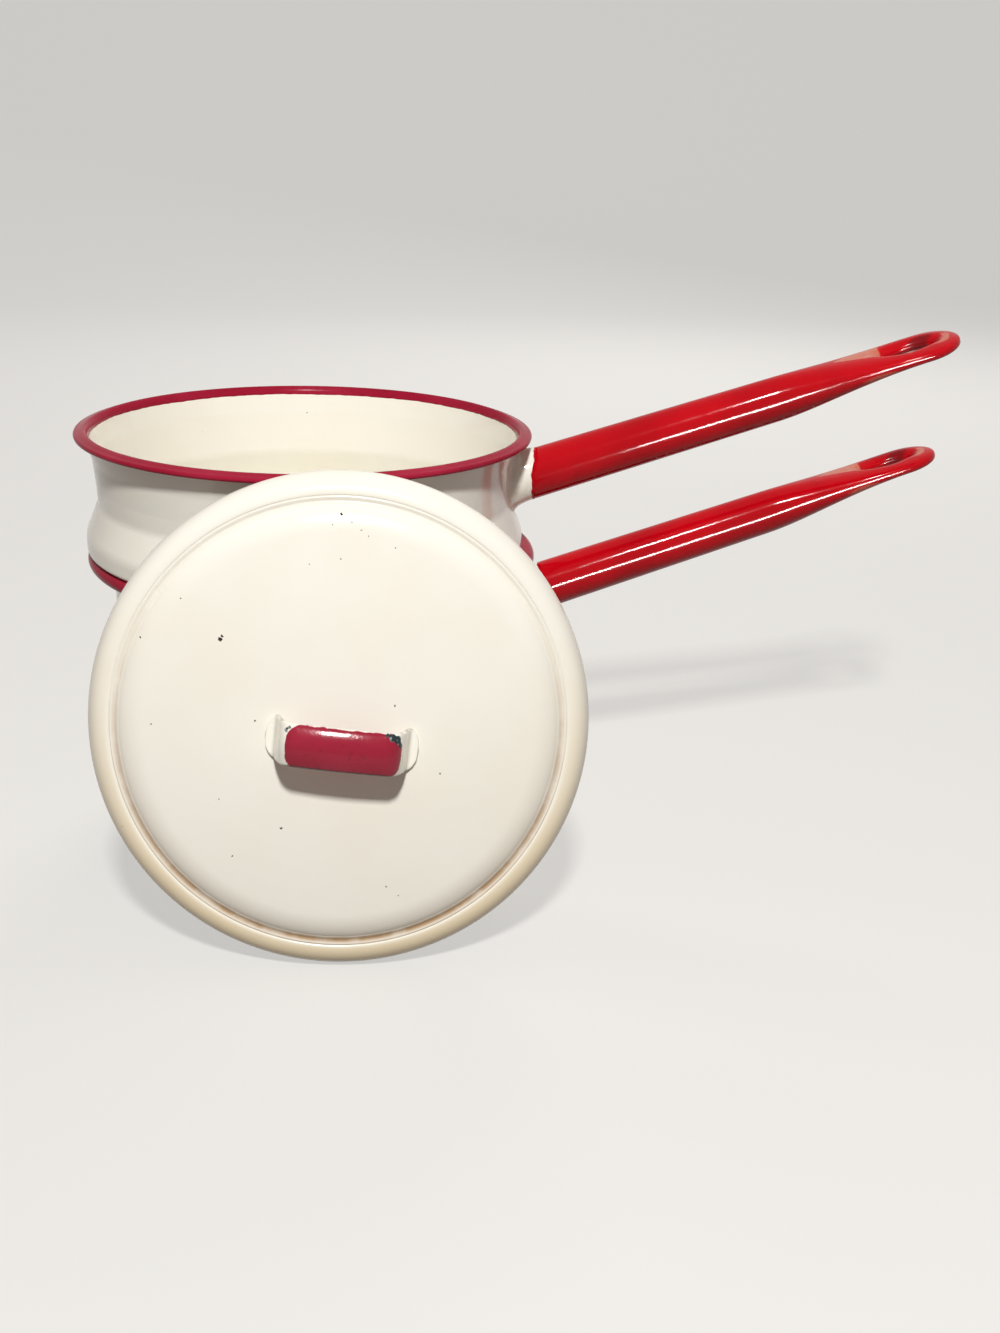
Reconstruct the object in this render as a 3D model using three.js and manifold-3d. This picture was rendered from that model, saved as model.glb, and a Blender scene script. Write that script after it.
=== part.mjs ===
// Enamelled double boiler: a water pot, an upper pan nested in it, and a lid leaning against them.
// Millimetres, +Z up. The origin is the centre of the pot's flat base, on the floor.
// +X runs along the pot's handle, and the lid stands in front, on the -Y side.

import * as THREE from 'three';
import { mergeVertices } from 'three/addons/utils/BufferGeometryUtils.js';
import Module from 'manifold-3d';

const wasm = await Module();
wasm.setup();

// Sheet, clearances and facets, shared by every piece
const sheet = 1.2;
const seatGap = 0.3;
const cutOverrun = 6;
const weldTolerance = 0.003;
const roundFacets = 44;
const tubeFacets = 18;
const slideSteps = 60;

// Rolled rims of pot and pan
const rimRadius = 90.6;
const rimLipDrop = 0.6;
const potRimThickness = 5.4;
const panRimThickness = 2.4;

// Lower pot
const potHeight = 118.7;
const potRimWidth = 9.6;
const potTaper = 3.5;
const potCornerRadius = 12;

// Upper pan: neck under its rim, waist, shoulder on the pot's rim, and the insert that hangs inside the pot
const panRise = 49.8;
const panRimWidth = 6.8;
const panWaistInset = 1.1;
const panWaistDrop = 26.8;
const panShoulderOut = 3.9;
const panShoulderHeight = 5.6;
const panShoulderRound = 10;
const panSeatRound = 2;
const panInsertDepth = 47;
const panInsertClearance = 4;
const panInsertTaper = 1.5;
const panCornerRadius = 14;
const panSideOffset = 2.7;
const panTurn = -5.6;

// Handles: the same tube on pot and pan, welded under the rim by a flared root
const handleRise = 19.2;
const handleRimClearance = 4.1;
const potHandleRoll = -1.9;
const panHandleRoll = 5.6;
const potRootShow = 2.2;
const panRootShow = 0.5;
const rootFlare = 2;
const rootFlareLength = 9;
const tubeDiameter = 19.8;
const tubeTaper = 3.8;
const tubeLength = 175;
const tubeWall = 1;
const eyeWidth = 28.5;
const eyeThickness = 6.4;
const eyeLift = 2.4;
const eyeHoleLength = 24;
const eyeHoleWidth = 12;
const eyeEndBand = 8;
const eyeBoreBand = 5;

// Lid
const lidRadius = 87.4;
const lidGrooveRadius = 77.2;
const lidGrooveDepth = 1;
const lidGrooveWidth = 2.2;
const lidBorderDepth = 9;
const lidCurlRadius = 2.4;
const lidShoulderWidth = 9;
const lidShoulderHeight = 3.6;
const lidDomeHeight = 3.4;
const lidLean = 12.5;
const lidTurn = -1.9;
const lidSideOffset = 11.6;

// Lid's strap handle
const strapLength = 45;
const strapWidth = 13.7;
const strapHeight = 16;
const strapSheet = 1.8;
const strapCorner = 6;
const strapFoot = 4;
const strapCrown = 0.9;
const strapDrop = 4.6;
const strapSide = 1.8;
const strapTurn = -5.7;

// Enamel
const ivory = { color: 0xfbf6e6, roughness: 0.22, metalness: 0 };
const crimson = { color: 0xa0283c, roughness: 0.25, metalness: 0 };
const red = { color: 0xc8101e, roughness: 0.2, metalness: 0 };

// Shapes by hand-chosen shares: the neck by height and widening, the rim's top by width and rise
const neckShares = [[0, 0], [0.12, 0.05], [0.33, 0.4], [0.55, 0.85], [0.75, 1], [1, 1]];
const rimTopShares = [[0.72, 1], [0.4, 0.75], [0.15, 0.3]];
const flattenStartShare = 0.57;
const flattenEndShare = 0.93;
const tipNarrowShare = 0.3;

const degrees = THREE.MathUtils.degToRad;
const lerp = THREE.MathUtils.lerp;

// Solids and booleans

function toSolid(geometry) {
  const bare = geometry.clone();
  bare.deleteAttribute('normal');
  bare.deleteAttribute('uv');
  const merged = mergeVertices(bare, weldTolerance);
  const corners = merged.index.array;
  const kept = [];
  for (let i = 0; i < corners.length; i += 3) {
    const [a, b, c] = corners.slice(i, i + 3);
    if (a !== b && b !== c && c !== a) kept.push(a, b, c);
  }
  const vertProperties = new Float32Array(merged.attributes.position.array);
  return new wasm.Manifold(new wasm.Mesh({ numProp: 3, vertProperties, triVerts: new Uint32Array(kept) }));
}

function toGeometry(solid) {
  const mesh = solid.getMesh();
  const geometry = new THREE.BufferGeometry();
  geometry.setAttribute('position', new THREE.BufferAttribute(new Float32Array(mesh.vertProperties), 3));
  geometry.setIndex(new THREE.BufferAttribute(new Uint32Array(mesh.triVerts), 1));
  geometry.computeVertexNormals();
  return geometry;
}

function piece(name, finish, solid) {
  const mesh = new THREE.Mesh(toGeometry(solid), new THREE.MeshStandardMaterial(finish));
  mesh.name = name;
  return mesh;
}

// Outlines are lists of [radius, height] points

function arc(radius, height, across, up, from, to, steps) {
  const points = [];
  for (let i = 0; i <= steps; i += 1) {
    const angle = degrees(lerp(from, to, i / steps));
    points.push([radius + across * Math.cos(angle), height + up * Math.sin(angle)]);
  }
  return points;
}

function smooth(points, steps) {
  const spline = new THREE.SplineCurve(points.map(([radius, height]) => new THREE.Vector2(radius, height)));
  return spline.getPoints(steps).map((point) => [point.x, point.y]);
}

function direction(from, to) {
  return new THREE.Vector2(to[0] - from[0], to[1] - from[1]).normalize();
}

// The same path moved sideways, to the left of its travel, with its corners mitred
function offsetPath(path, distance) {
  const last = path.length - 1;
  return path.map((point, i) => {
    const into = direction(path[Math.max(i - 1, 0)], path[Math.max(i, 1)]);
    const out = direction(path[Math.min(i, last - 1)], path[Math.min(i + 1, last)]);
    const side = new THREE.Vector2(-into.y - out.y, into.x + out.x).normalize();
    const reach = distance / (side.x * -into.y + side.y * into.x);
    const radius = point[0] === 0 ? 0 : point[0] + side.x * reach;
    return [radius, point[1] + side.y * reach];
  });
}

// Sheet metal: one face's path, closed by the same path one thickness to its left
function sheetOutline(path, thickness) {
  return [...path, ...offsetPath(path, thickness).reverse()];
}

// A solid of revolution round Z from a closed outline, taken anticlockwise so that its faces point out
function turned(outline) {
  const points = outline.map(([radius, height]) => new THREE.Vector2(radius, height));
  if (THREE.ShapeUtils.area(points) < 0) points.reverse();
  points.push(points[0].clone());
  const geometry = new THREE.LatheGeometry(points, roundFacets);
  geometry.rotateX(Math.PI / 2);
  return toSolid(geometry);
}

// Rolled rims: each has the radius of the wall inside it, the height of its middle and half its thickness
const potCurl = potRimThickness / 2;
const panCurl = panRimThickness / 2;
const potEdge = { wall: rimRadius - potRimWidth, mid: potHeight - potCurl, curl: potCurl };
const panEdge = { wall: rimRadius - panRimWidth, mid: potEdge.mid + panRise, curl: panCurl };

function lipHeight({ mid, curl }) {
  return mid + curl - rimLipDrop;
}

function rimOutline(edge) {
  const { wall, mid, curl } = edge;
  const innerRadius = wall + seatGap;
  const curlCentre = rimRadius - curl;
  const lip = lipHeight(edge);
  const crown = rimTopShares.map(([wide, high]) => [
    lerp(innerRadius, curlCentre, wide), lerp(lip, mid + curl, high),
  ]);
  return [
    [innerRadius, mid - curl],
    ...arc(curlCentre, mid, curl, curl, -90, 90, 5),
    ...crown,
    [innerRadius, lip],
  ];
}

// Outer face of the lower pot's wall, from the middle of its base to the lip inside its rim

function potPath() {
  const base = potEdge.wall - potTaper;
  const corner = potCornerRadius;
  return [
    [0, 0],
    ...arc(base - corner, corner, corner, corner, -90, 0, 5),
    [potEdge.wall, lipHeight(potEdge)],
  ];
}

// Outer face of the upper pan: insert, seat on the pot's rim, shoulder, waist and neck
const panWaistRadius = panEdge.wall - panWaistInset;
const panShoulderRadius = panEdge.wall + panShoulderOut;
const panInsertRadius = potEdge.wall - sheet - panInsertClearance;
const panSeat = potHeight + seatGap;

function panPath() {
  const top = lipHeight(panEdge);
  const waist = panEdge.mid - panWaistDrop;
  const corner = panCornerRadius;
  const insertFoot = panInsertRadius - panInsertTaper;
  const bottom = panSeat - panInsertDepth;
  const seatRound = panSeatRound;
  const round = panShoulderRound;
  const shoulderTop = panSeat + panShoulderHeight;
  const neck = neckShares.map(([high, wide]) => [
    lerp(panWaistRadius, panEdge.wall, wide), lerp(waist, top, high),
  ]);
  return [
    [0, bottom],
    ...arc(insertFoot - corner, bottom + corner, corner, corner, -90, 0, 5),
    [panInsertRadius, panSeat - sheet],
    [panInsertRadius + sheet, panSeat],
    ...arc(panShoulderRadius - seatRound, panSeat + seatRound, seatRound, seatRound, -90, 0, 3),
    ...arc(panShoulderRadius - round, shoulderTop, round, round, 0, 20, 2),
    ...smooth(neck, 7),
  ];
}

// Handles leave the wall along +X and rise, each rolled a little about its own line. The tube's top clears the
// underside of the rim.

function handlePlace(distance, edge, roll) {
  const rise = degrees(handleRise);
  const underRim = edge.mid - edge.curl - handleRimClearance - tubeDiameter / 2 / Math.cos(rise);
  const place = new THREE.Matrix4().makeRotationY(-rise);
  place.multiply(new THREE.Matrix4().makeRotationX(degrees(roll)));
  place.setPosition(distance, 0, underRim + (distance - rimRadius) * Math.tan(rise));
  return place;
}

// A unit cylinder along +X, reshaped ring by ring to the half width, half height and lift at each share
function lofted(sectionAt, fromShare, toShare, rings) {
  const geometry = new THREE.CylinderGeometry(1, 1, 1, tubeFacets, rings);
  geometry.rotateZ(-Math.PI / 2);
  const position = geometry.attributes.position;
  for (let i = 0; i < position.count; i += 1) {
    const share = lerp(fromShare, toShare, position.getX(i) + 1 / 2);
    const { along, half, thick, lift } = sectionAt(share);
    position.setXYZ(i, along, position.getY(i) * half, position.getZ(i) * thick + lift);
  }
  return toSolid(geometry);
}

// Handle: flared at the wall, round along its length, flat and wide round the eye, with a rounded tip
function handleSection(share, inset, wallDistance) {
  const along = share * tubeLength;
  const tipRadius = eyeWidth / 2;
  const flat = THREE.MathUtils.smoothstep(share, flattenStartShare, flattenEndShare);
  const nearWall = Math.min(Math.max(0, 1 - (along - wallDistance) / rootFlareLength), 1);
  const round = (tubeDiameter - tubeTaper * Math.max(0, share)) / 2 + rootFlare * nearWall ** 2;
  const intoTip = Math.max(0, along - tubeLength + tipRadius) / tipRadius;
  const narrow = Math.sqrt(Math.max(1 - intoTip ** 2, tipNarrowShare ** 2));
  return {
    along,
    half: lerp(round, tipRadius, flat) * narrow - inset,
    thick: lerp(round, eyeThickness / 2, flat) * Math.sqrt(narrow) - inset,
    lift: eyeLift * flat,
  };
}

function eyeCutter() {
  const outline = new THREE.Shape();
  outline.absellipse(0, 0, eyeHoleLength / 2, eyeHoleWidth / 2, 0, Math.PI * 2, false, 0);
  const depth = tubeDiameter + cutOverrun;
  const geometry = new THREE.ExtrudeGeometry(outline, { depth, bevelEnabled: false, curveSegments: 12 });
  geometry.translate(tubeLength - eyeEndBand - eyeHoleLength / 2, 0, eyeLift - depth / 2);
  return toSolid(geometry);
}

// The whole handle, hollow up to the eye, from well inside the wall to its tip
function wholeHandle(wallDistance) {
  const start = (wallDistance - panShoulderOut - cutOverrun) / tubeLength;
  const boreStart = start - cutOverrun / tubeLength;
  const boreEnd = 1 - (eyeEndBand + eyeHoleLength + eyeBoreBand) / tubeLength;
  const outer = lofted((share) => handleSection(share, 0, wallDistance), start, 1, 30);
  const bore = lofted((share) => handleSection(share, tubeWall, wallDistance), boreStart, boreEnd, 18);
  return outer.subtract(bore).subtract(eyeCutter());
}

// The handle is parted by an upright plane into its white root, cut to the wall, and its red tube
function addHandle(vessel, prefix, path, edge, rootShow, roll) {
  const place = handlePlace(rimRadius + rootShow, edge, roll);
  const handle = wholeHandle((edge.wall - rimRadius - rootShow) / Math.cos(degrees(handleRise)));
  const clear = offsetPath(path, -seatGap);
  const wall = turned([...clear, [0, clear[clear.length - 1][1]]]);
  const outward = new THREE.Vector3(1, 0, 0).transformDirection(place.clone().invert()).toArray();
  const inward = outward.map((value) => -value);
  const root = handle.trimByPlane(inward, 0).subtract(wall.transform(place.clone().invert().elements));
  const tube = handle.trimByPlane(outward, seatGap);
  const pieces = [piece(`${prefix}_handle_root`, ivory, root), piece(`${prefix}_handle`, red, tube)];
  for (const mesh of pieces) {
    mesh.position.setFromMatrixPosition(place);
    mesh.rotation.setFromRotationMatrix(place);
    vessel.add(mesh);
  }
}

// Lid, built lying flat: front face up, the outer side of its groove at height 0
const lidDomeRadius = lidGrooveRadius - lidGrooveWidth / 2 - lidShoulderWidth;

function lidDomeAt(radius) {
  return lidShoulderHeight + lidDomeHeight * (1 - (radius / lidDomeRadius) ** 2);
}

function lidPath() {
  const crest = lidGrooveRadius + lidGrooveWidth;
  const curl = lidCurlRadius;
  const edge = -lidBorderDepth;
  const dome = [];
  const domeRings = 5;
  for (let i = 0; i < domeRings; i += 1) {
    const radius = lidDomeRadius * i / domeRings;
    dome.push([radius, lidDomeAt(radius)]);
  }
  return [
    ...dome,
    ...arc(lidDomeRadius, 0, lidShoulderWidth, lidShoulderHeight, 90, 18, 3),
    [lidGrooveRadius - lidGrooveWidth / 4, -lidGrooveDepth],
    [lidGrooveRadius + lidGrooveWidth / 4, -lidGrooveDepth],
    ...arc(crest, edge, lidRadius - crest, lidBorderDepth, 90, 0, 6),
    ...arc(lidRadius - curl, edge, curl, curl, -45, -150, 3),
  ];
}

// Strap: a bridge bent from sheet, drawn from the side and extruded across its width
function strapSolid() {
  const half = strapLength / 2;
  const corner = strapCorner;
  const top = strapHeight + strapSheet;
  const bend = strapSheet / 2;
  const path = [
    [half + strapFoot, strapSheet],
    [half + bend, strapSheet],
    [half, strapSheet + bend],
    ...arc(half - corner, top - corner, corner, corner, 0, 90, 4),
    [0, top + strapCrown],
    ...arc(corner - half, top - corner, corner, corner, 90, 180, 4),
    [-half, strapSheet + bend],
    [-half - bend, strapSheet],
    [-half - strapFoot, strapSheet],
  ];
  const outline = sheetOutline(path, strapSheet).map(([x, y]) => new THREE.Vector2(x, y));
  const side = new THREE.Shape(outline);
  const geometry = new THREE.ExtrudeGeometry(side, { depth: strapWidth, bevelEnabled: false });
  geometry.rotateX(Math.PI / 2);
  geometry.translate(0, strapWidth / 2, 0);
  geometry.rotateZ(degrees(strapTurn));
  const footRadius = Math.hypot(half + strapFoot + strapSide, strapDrop + strapWidth / 2);
  geometry.translate(strapSide, -strapDrop, lidDomeAt(footRadius));
  return toSolid(geometry).subtract(lidClearance());
}

// The lid's front face raised by the seat gap and closed far below: the strap's feet are cut to it
function lidClearance() {
  const front = lidPath().filter(([radius]) => radius < lidGrooveRadius);
  const raised = front.map(([radius, height]) => [radius, height + seatGap]);
  const floor = -lidGrooveDepth - cutOverrun;
  return turned([...raised, [lidGrooveRadius, floor], [0, floor]]);
}

// The lid stands on its curled edge, leaning back. From clear in front it slides back, by the gap that is left
// each time, until it meets the pan, or the pot if it is too low.
function standLid(lid, shell, vessels) {
  const lean = degrees(lidLean);
  const drops = sheetOutline(lidPath(), -sheet).map(([radius, height]) => (
    radius * Math.cos(lean) - height * Math.sin(lean)
  ));
  lid.rotation.set(Math.PI / 2 - lean, 0, degrees(lidTurn), 'ZYX');
  lid.position.set(lidSideOffset, -2 * rimRadius, Math.max(...drops));
  let slack = rimRadius;
  for (let i = 0; i < slideSteps && slack > weldTolerance; i += 1) {
    lid.updateMatrix();
    slack = shell.transform(lid.matrix.elements).minGap(vessels, lidBorderDepth) - seatGap;
    lid.position.y += slack;
  }
}

// Assembly

const potBody = turned(sheetOutline(potPath(), sheet));
const potRim = turned(rimOutline(potEdge));
const panBody = turned(sheetOutline(panPath(), sheet));
const panRim = turned(rimOutline(panEdge));
const lidBody = turned(sheetOutline(lidPath(), -sheet));

const pot = new THREE.Group();
pot.add(piece('lower_pot_body', ivory, potBody), piece('lower_pot_rim', crimson, potRim));
addHandle(pot, 'lower', potPath(), potEdge, potRootShow, potHandleRoll);

const pan = new THREE.Group();
pan.position.set(-panSideOffset, 0, 0);
pan.rotation.z = degrees(panTurn);
pan.updateMatrix();
pan.add(piece('upper_pan_body', ivory, panBody), piece('upper_pan_rim', crimson, panRim));
addHandle(pan, 'upper', panPath(), panEdge, panRootShow, panHandleRoll);

const lid = new THREE.Group();
const standingPan = [panBody, panRim].map((solid) => solid.transform(pan.matrix.elements));
lid.add(piece('lid_body', ivory, lidBody), piece('lid_handle', crimson, strapSolid()));
standLid(lid, lidBody, wasm.Manifold.union([potBody, potRim, ...standingPan]));

const doubleBoiler = new THREE.Group();
doubleBoiler.add(pot, pan, lid);

export default doubleBoiler;
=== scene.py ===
# Enamelled double boiler: its looks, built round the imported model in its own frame. The pot's axis is +Z, its
# handle points along +X, and the lid stands in front, on the -Y side. Pieces are sized in millimetres, and
# turned to metres when a mesh is made. The paints' masks, the lamps and the camera are in metres.

import math

import bmesh
import bpy
import numpy as np
from mathutils import Matrix


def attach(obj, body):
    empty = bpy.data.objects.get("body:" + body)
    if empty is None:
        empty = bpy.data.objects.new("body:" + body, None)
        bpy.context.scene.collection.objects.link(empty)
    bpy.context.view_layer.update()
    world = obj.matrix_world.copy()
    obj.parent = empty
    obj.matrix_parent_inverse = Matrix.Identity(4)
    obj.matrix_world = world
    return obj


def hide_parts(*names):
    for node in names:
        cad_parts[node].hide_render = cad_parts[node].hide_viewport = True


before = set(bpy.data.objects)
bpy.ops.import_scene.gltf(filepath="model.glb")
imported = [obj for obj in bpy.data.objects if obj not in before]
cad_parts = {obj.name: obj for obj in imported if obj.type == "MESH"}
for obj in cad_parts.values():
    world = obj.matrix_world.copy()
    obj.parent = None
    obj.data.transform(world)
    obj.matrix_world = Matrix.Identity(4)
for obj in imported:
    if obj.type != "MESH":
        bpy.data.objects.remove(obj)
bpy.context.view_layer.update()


# Lower pot

# The water pot: a deep cup drawn from one steel sheet, its edge turned out to carry the upper pan. It is
# dipped in white vitreous enamel inside and out, so every corner is soft and the gloss is a little uneven.

METRE = 0.001
SHEET = 1.2
POT_WALL = 81.0
POT_FLANGE = 116.9
POT_CORNERS = [
    (0, 0.5, 0), (57, 0.5, 3), (60.5, 0, 3), (77.5, 0, 12), (POT_WALL, POT_FLANGE, 1.2), (87, POT_FLANGE, 0),
]
IVORY = (248, 246, 236)
CREAM = (244, 237, 221)
CHIP = (38, 40, 42)
RUST = (120, 72, 40)
STAIN_AND_SHADE = (176, 140, 98)
POT_CHIPS = [
    (-56, -55, 3, 2.4), (40, 66, 2.5, 3.0), (74, 19, 3, 1.8), (-76, 5, 4, 1.6), (2, 79.6, 61, 1.2),
    (-50, 63, 84, 1.0),
]
ENAMEL_IOR = 1.52
RIPPLE = 0.11
CHIP_DEPTH = 0.03
MERGE_DISTANCE = 2e-6


def fillet_path(corners, spacing=4.0, steps=9):
    """Profile through corners of (across, up, radius): straight runs, and at each corner the arc that touches
    both its sides. Points close to each arc's ends keep the shading of the long runs even."""
    points = [np.array(corner[:2], float) for corner in corners]
    path = [points[0][None]]
    for i in range(1, len(points)):
        start, point, radius = path[-1][-1], points[i], corners[i][2]
        into = (point - points[i - 1]) / np.linalg.norm(point - points[i - 1])
        arc = point[None]
        if radius:
            out = (points[i + 1] - point) / np.linalg.norm(points[i + 1] - point)
            turn = math.atan2(into[0] * out[1] - into[1] * out[0], into @ out)
            side = np.array([-into[1], into[0]]) * math.copysign(radius, turn)
            centre = point - into * radius * math.tan(abs(turn) / 2) + side
            swing = np.linspace(0, abs(turn), steps)[:, None]
            arc = centre - side * np.cos(swing) + into * radius * np.sin(swing)
        length = np.linalg.norm(arc[0] - start)
        shares = np.linspace(0, 1, math.ceil(length / spacing) + 1)[1:-1]
        if length > 2:
            shares = np.sort(np.append(shares, [0.5 / length, 1 - 0.5 / length]))
        path += [start + (arc[0] - start) * shares[:, None], arc]
    path = np.concatenate(path)
    return path[np.append(True, np.linalg.norm(np.diff(path, axis=0), axis=1) > 1e-4)]


def sheet_section(path, thickness):
    """Closed section of a sheet: the path, a half circle round its free edge, and the path back along its
    left side, one thickness away. A negative thickness puts the second face on the right."""
    step = np.gradient(path, axis=0)
    ahead = step / np.linalg.norm(step, axis=1, keepdims=True)
    across = np.stack([-ahead[:, 1], ahead[:, 0]], 1) * thickness
    far = path + across
    far[0, 0] = 0
    swing = np.linspace(0, math.pi, 9)[1:-1, None]
    edge = path[-1] + across[-1] / 2 * (1 - np.cos(swing)) + ahead[-1] * abs(thickness) / 2 * np.sin(swing)
    return np.concatenate([path, edge, far[::-1]])


def turned(section, facets=288):
    """Surface of revolution round Z: each (radius, height) of the section carried round the full circle."""
    angle = np.linspace(0, 2 * math.pi, facets + 1)
    radius, height = section[:, :1], section[:, 1:2]
    return np.stack([radius * np.cos(angle), radius * np.sin(angle), height + 0 * angle], -1)


def knit(name, grids, place=Matrix(), owns=None):
    """One closed, smooth mesh from grids of points in millimetres: four neighbours on a grid make a face, and
    points that meet are merged. The attribute own keeps each point's place in the piece's own frame, in
    metres."""
    faces, used = [], 0
    for grid in grids:
        rows, columns = grid.shape[:2]
        index = used + np.arange(rows * columns).reshape(rows, columns)
        corners = [index[:-1, :-1], index[:-1, 1:], index[1:, 1:], index[1:, :-1]]
        faces.append(np.stack(corners, -1).reshape(-1, 4))
        used += rows * columns
    points = np.concatenate([grid.reshape(-1, 3) for grid in grids])
    turn = np.array(place)
    placed = points @ turn[:3, :3].T + turn[:3, 3]
    mesh = bpy.data.meshes.new(name)
    mesh.from_pydata((placed * METRE).tolist(), [], np.concatenate(faces).tolist())
    own = mesh.attributes.new("own", "FLOAT_VECTOR", "POINT")
    own_points = points if owns is None else np.concatenate([grid.reshape(-1, 3) for grid in owns])
    own.data.foreach_set("vector", (own_points * METRE).ravel())
    shape = bmesh.new()
    shape.from_mesh(mesh)
    bmesh.ops.remove_doubles(shape, verts=shape.verts, dist=MERGE_DISTANCE)
    bmesh.ops.recalc_face_normals(shape, faces=shape.faces)
    shape.to_mesh(mesh)
    shape.free()
    mesh.shade_smooth()
    piece = bpy.data.objects.new(name, mesh)
    bpy.context.scene.collection.objects.link(piece)
    return piece


class Wire:
    """A number, colour or vector between nodes. Arithmetic on it adds Math nodes."""

    def __init__(self, tree, socket=None):
        self.tree = tree
        self.socket = socket

    def node(self, kind, settings=None, sockets=None, output=0):
        """Adds a node, first its settings, then its sockets' values or links, and gives one of its
        outputs."""
        made = self.tree.nodes.new(kind)
        for name, value in (settings or {}).items():
            setattr(made, name, value)
        for name, value in (sockets or {}).items():
            if isinstance(value, Wire):
                self.tree.links.new(value.socket, made.inputs[name])
            else:
                made.inputs[name].default_value = value
        return Wire(self.tree, made.outputs[output])

    def math(self, operation, *values):
        return self.node("ShaderNodeMath", {"operation": operation}, dict(enumerate(values)))

    def __add__(self, other):
        return self.math("ADD", self, other)

    def __sub__(self, other):
        return self.math("SUBTRACT", self, other)

    def __mul__(self, other):
        return self.math("MULTIPLY", self, other)

    def __rsub__(self, other):
        return self.math("SUBTRACT", other, self)

    __radd__ = __add__
    __rmul__ = __mul__

    def most(self, other):
        return self.math("MAXIMUM", self, other)

    def ramp(self, low, high):
        """Rises smoothly from 0 at low to 1 at high, or falls from 1 to 0 where low is the larger."""
        ends = {"Value": self, "From Min": low, "From Max": high}
        return self.node("ShaderNodeMapRange", {"interpolation_type": "SMOOTHSTEP"}, ends)

    def noise(self, scale, detail=2.0, roughness=0.5):
        sockets = {"Vector": self, "Scale": scale, "Detail": detail, "Roughness": roughness}
        return self.node("ShaderNodeTexNoise", {}, sockets)

    def mix(self, first, second):
        """The first colour where this share is 0, the second where it is 1."""
        return self.node("ShaderNodeMix", {"data_type": "RGBA"}, {0: self, 6: first, 7: second}, 2)

    def parts(self):
        return [self.node("ShaderNodeSeparateXYZ", {}, {0: self}, i) for i in range(3)]

    def shifted(self, other):
        return self.node("ShaderNodeVectorMath", {"operation": "ADD"}, {0: self, 1: other})

    def scaled(self, factor):
        return self.node("ShaderNodeVectorMath", {"operation": "SCALE"}, {0: self, "Scale": factor})

    def length(self, *stretch):
        """Length of a vector, each of its parts multiplied first."""
        factors = {0: self, 1: stretch or (1, 1, 1)}
        pulled = self.node("ShaderNodeVectorMath", {"operation": "MULTIPLY"}, factors)
        return self.node("ShaderNodeVectorMath", {"operation": "LENGTH"}, {0: pulled}, "Value")


def colour(shade):
    """Linear colour from three display values of 0 to 255."""
    share = np.array(shade) / 255
    linear = np.where(share <= 0.04045, share / 12.92, ((share + 0.055) / 1.055) ** 2.4)
    return (*linear.tolist(), 1.0)


def frayed(own, amount, scale=900):
    """The piece's own place, pushed about by noise by up to half the amount in millimetres, for ragged
    outlines."""
    cloud = own.node("ShaderNodeTexNoise", {}, {"Vector": own, "Scale": scale, "Detail": 3.0}, "Color")
    return own.shifted(cloud.shifted((-0.5, -0.5, -0.5)).scaled(amount * METRE))


def spots(own, marks):
    """Share of chipped enamel: 1 within each mark's radius, from marks of (x, y, z, radius) in
    millimetres."""
    ragged = frayed(own, 1.6)
    share = None
    for x, y, z, radius in marks:
        apart = ragged.shifted((-x * METRE, -y * METRE, -z * METRE)).length()
        mark = apart.ramp(radius * METRE, 0.55 * radius * METRE)
        share = mark if share is None else share.most(mark)
    return share


def fired_enamel(piece, name, paint, gloss=0.13, sheen=0.5, peel=0.012, grit=0.0016):
    """Glossy fired enamel. paint(own) gives its colour and the share by which it is dulled. The bump is
    the slow ripple of a dipped coat with an orange peel and a finer grit of the given heights on it, in
    millimetres."""
    material = bpy.data.materials.new(name)
    material.use_nodes = True
    tree = material.node_tree
    own = Wire(tree).node("ShaderNodeAttribute", {"attribute_name": "own"}, {}, "Vector")
    shade, dull = paint(own)
    height = own.noise(75, 1) * RIPPLE + own.noise(330, 2) * peel + own.noise(1300, 1) * grit
    height = height - dull * CHIP_DEPTH
    bump = own.node("ShaderNodeBump", {}, {"Strength": 1.0, "Distance": METRE, "Height": height})
    shader = tree.nodes["Principled BSDF"]
    rough = own.noise(140, 3) * 0.1 + (gloss - 0.05) + dull * 0.45
    for socket, value in {"Base Color": shade, "Roughness": rough, "Normal": bump}.items():
        tree.links.new(value.socket, shader.inputs[socket])
    shader.inputs["IOR"].default_value = ENAMEL_IOR
    shader.inputs["Specular IOR Level"].default_value = sheen
    piece.data.materials.append(material)


def ivory_paint(own, marks=(), stain_and_shade=None):
    """Old white enamel: ivory with slow creamy clouds, turned towards a tan colour where stain_and_shade says,
    a stain on some pieces and painted shade on the lid, and chipped to dark steel with a rusty edge at the
    marks and at a scatter of pinholes."""
    clouds = own.noise(22, 3).ramp(0.38, 0.72)
    shade = (clouds * 0.35).mix(colour(IVORY), colour(CREAM))
    scatter = {"Vector": frayed(own, 0.3), "Scale": 95.0}
    near = own.node("ShaderNodeTexVoronoi", {}, scatter, "Distance")
    rare = own.node("ShaderNodeTexVoronoi", {}, scatter, "Color").parts()[0].ramp(0.80, 0.84)
    pinholes = near.ramp(0.030, 0.018) * rare * 0.75
    # A tan stain colour, which on the lid is painted shade and painted warm reflection in the grooves.
    if stain_and_shade is not None:
        shade = stain_and_shade.mix(shade, colour(STAIN_AND_SHADE))
    chips = spots(own, marks).most(pinholes) if marks else pinholes
    shade = chips.ramp(0, 0.7).mix(shade, colour(RUST))
    shade = chips.ramp(0.3, 0.8).mix(shade, colour(CHIP))
    return shade, chips * 0.9


def pot_paint(own):
    """White enamel, scorched in patches round the corner of the base."""
    height = own.parts()[2]
    radius = own.length(1, 1, 0)
    scorch = height.ramp(0.009, 0.0) * radius.ramp(0.058, 0.075) * own.noise(60, 4).ramp(0.35, 0.7)
    return ivory_paint(own, POT_CHIPS, scorch * 0.7)


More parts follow.
